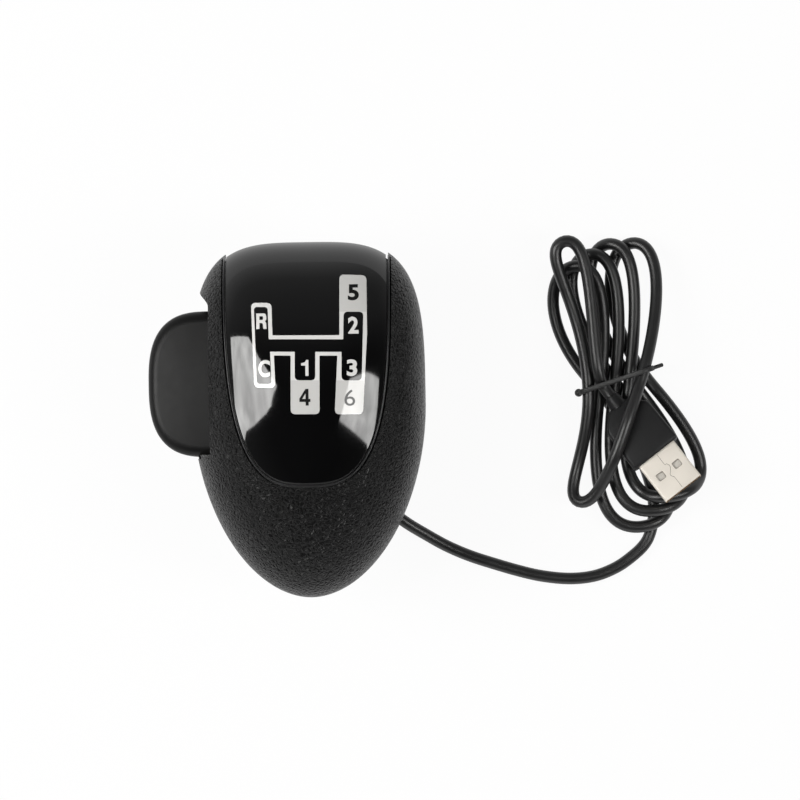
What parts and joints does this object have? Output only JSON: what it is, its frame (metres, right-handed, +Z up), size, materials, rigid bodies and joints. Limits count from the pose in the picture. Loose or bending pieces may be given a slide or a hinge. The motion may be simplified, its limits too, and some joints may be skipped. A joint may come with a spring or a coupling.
{
  "type": "truck-style gear-shift knob with a USB lead",
  "caption": "Egg-shaped gear-shift knob for a driving rig, with a gloss gear-pattern panel, a side splitter paddle, a front range lever and a USB lead tied in a hank.",
  "frame": {"origin": "on the lever bore's axis at the foot of the collar, which the knob stands on", "axes": "+Z up along the lever, +Y to the knob's front, where the gear panel rolls over the edge; the paddle is on -X"},
  "size_m": [0.1516, 0.097, 0.07],
  "materials": {
    "grip": "fine leather grain, matt",
    "panel_gloss": "polished",
    "panel_rim": "satin",
    "lever_black": "smooth, matt",
    "frame_grey": "as moulded",
    "screw_steel": "zinc plated",
    "sleeve_metal": "turned",
    "clamp_steel": "black oxide",
    "pin_steel": "ground",
    "board_green": "solder mask",
    "chip_black": "as moulded",
    "connector_white": "as moulded",
    "switch_black": "as moulded",
    "slider_white": "as moulded",
    "cable_black": "smooth, semi-gloss",
    "grommet_black": "matt",
    "tie_black": "matt",
    "plug_black": "matt",
    "plug_steel": "bright nickel",
    "tongue_beige": "as moulded",
    "contact_gold": "gold plated"
  },
  "bodies": {
    "housing": {"grip_upper": "grip", "grip_lower": "grip", "housing_screws": "screw_steel", "panel_tray": "panel_rim", "gear_plate": "panel_gloss", "core_frame": "frame_grey", "frame_screws": "screw_steel", "lever_sleeve": "sleeve_metal", "clamp_screws": "clamp_steel", "splitter_pin": "pin_steel", "range_pin": "pin_steel", "circuit_board": "board_green", "controller_chip": "chip_black", "lead_connector": "connector_white", "board_screws": "screw_steel", "splitter_case": "switch_black", "range_case": "switch_black", "inner_lead": "cable_black", "lead_grommet": "grommet_black", "cable_lead": "cable_black", "cable_hank": "cable_black", "hank_tie": "tie_black", "plug_body": "plug_black", "plug_shell": "plug_steel", "plug_tongue": "tongue_beige", "plug_contacts": "contact_gold"},
    "splitter": {"splitter_paddle": "lever_black"},
    "splitter_switch": {"splitter_slider": "slider_white"},
    "range": {"range_lever": "lever_black"},
    "range_switch": {"range_slider": "slider_white"}
  },
  "joints": [
    {"name": "splitter_hinge", "type": "hinge", "parent": "housing", "child": "splitter", "pos_m": [-0.018, 0.0098, 0.044], "axis": [0, 1, 0], "range_deg": [0, 14]},
    {"name": "splitter_slide", "type": "slide", "parent": "housing", "child": "splitter_switch", "axis": [1, 0, 0], "range_m": [0, 0.0019]},
    {"name": "range_hinge", "type": "hinge", "parent": "housing", "child": "range", "pos_m": [0, 0.029, 0.04], "axis": [1, 0, 0], "range_deg": [0, 10]},
    {"name": "range_slide", "type": "slide", "parent": "housing", "child": "range_switch", "axis": [0, -1, 0], "range_m": [0, 0.0021]}
  ],
  "couplings": [
    {"joint": "splitter_slide", "follows": "splitter_hinge", "m_per_rad": 0.0076},
    {"joint": "range_slide", "follows": "range_hinge", "m_per_rad": 0.0116}
  ]
}
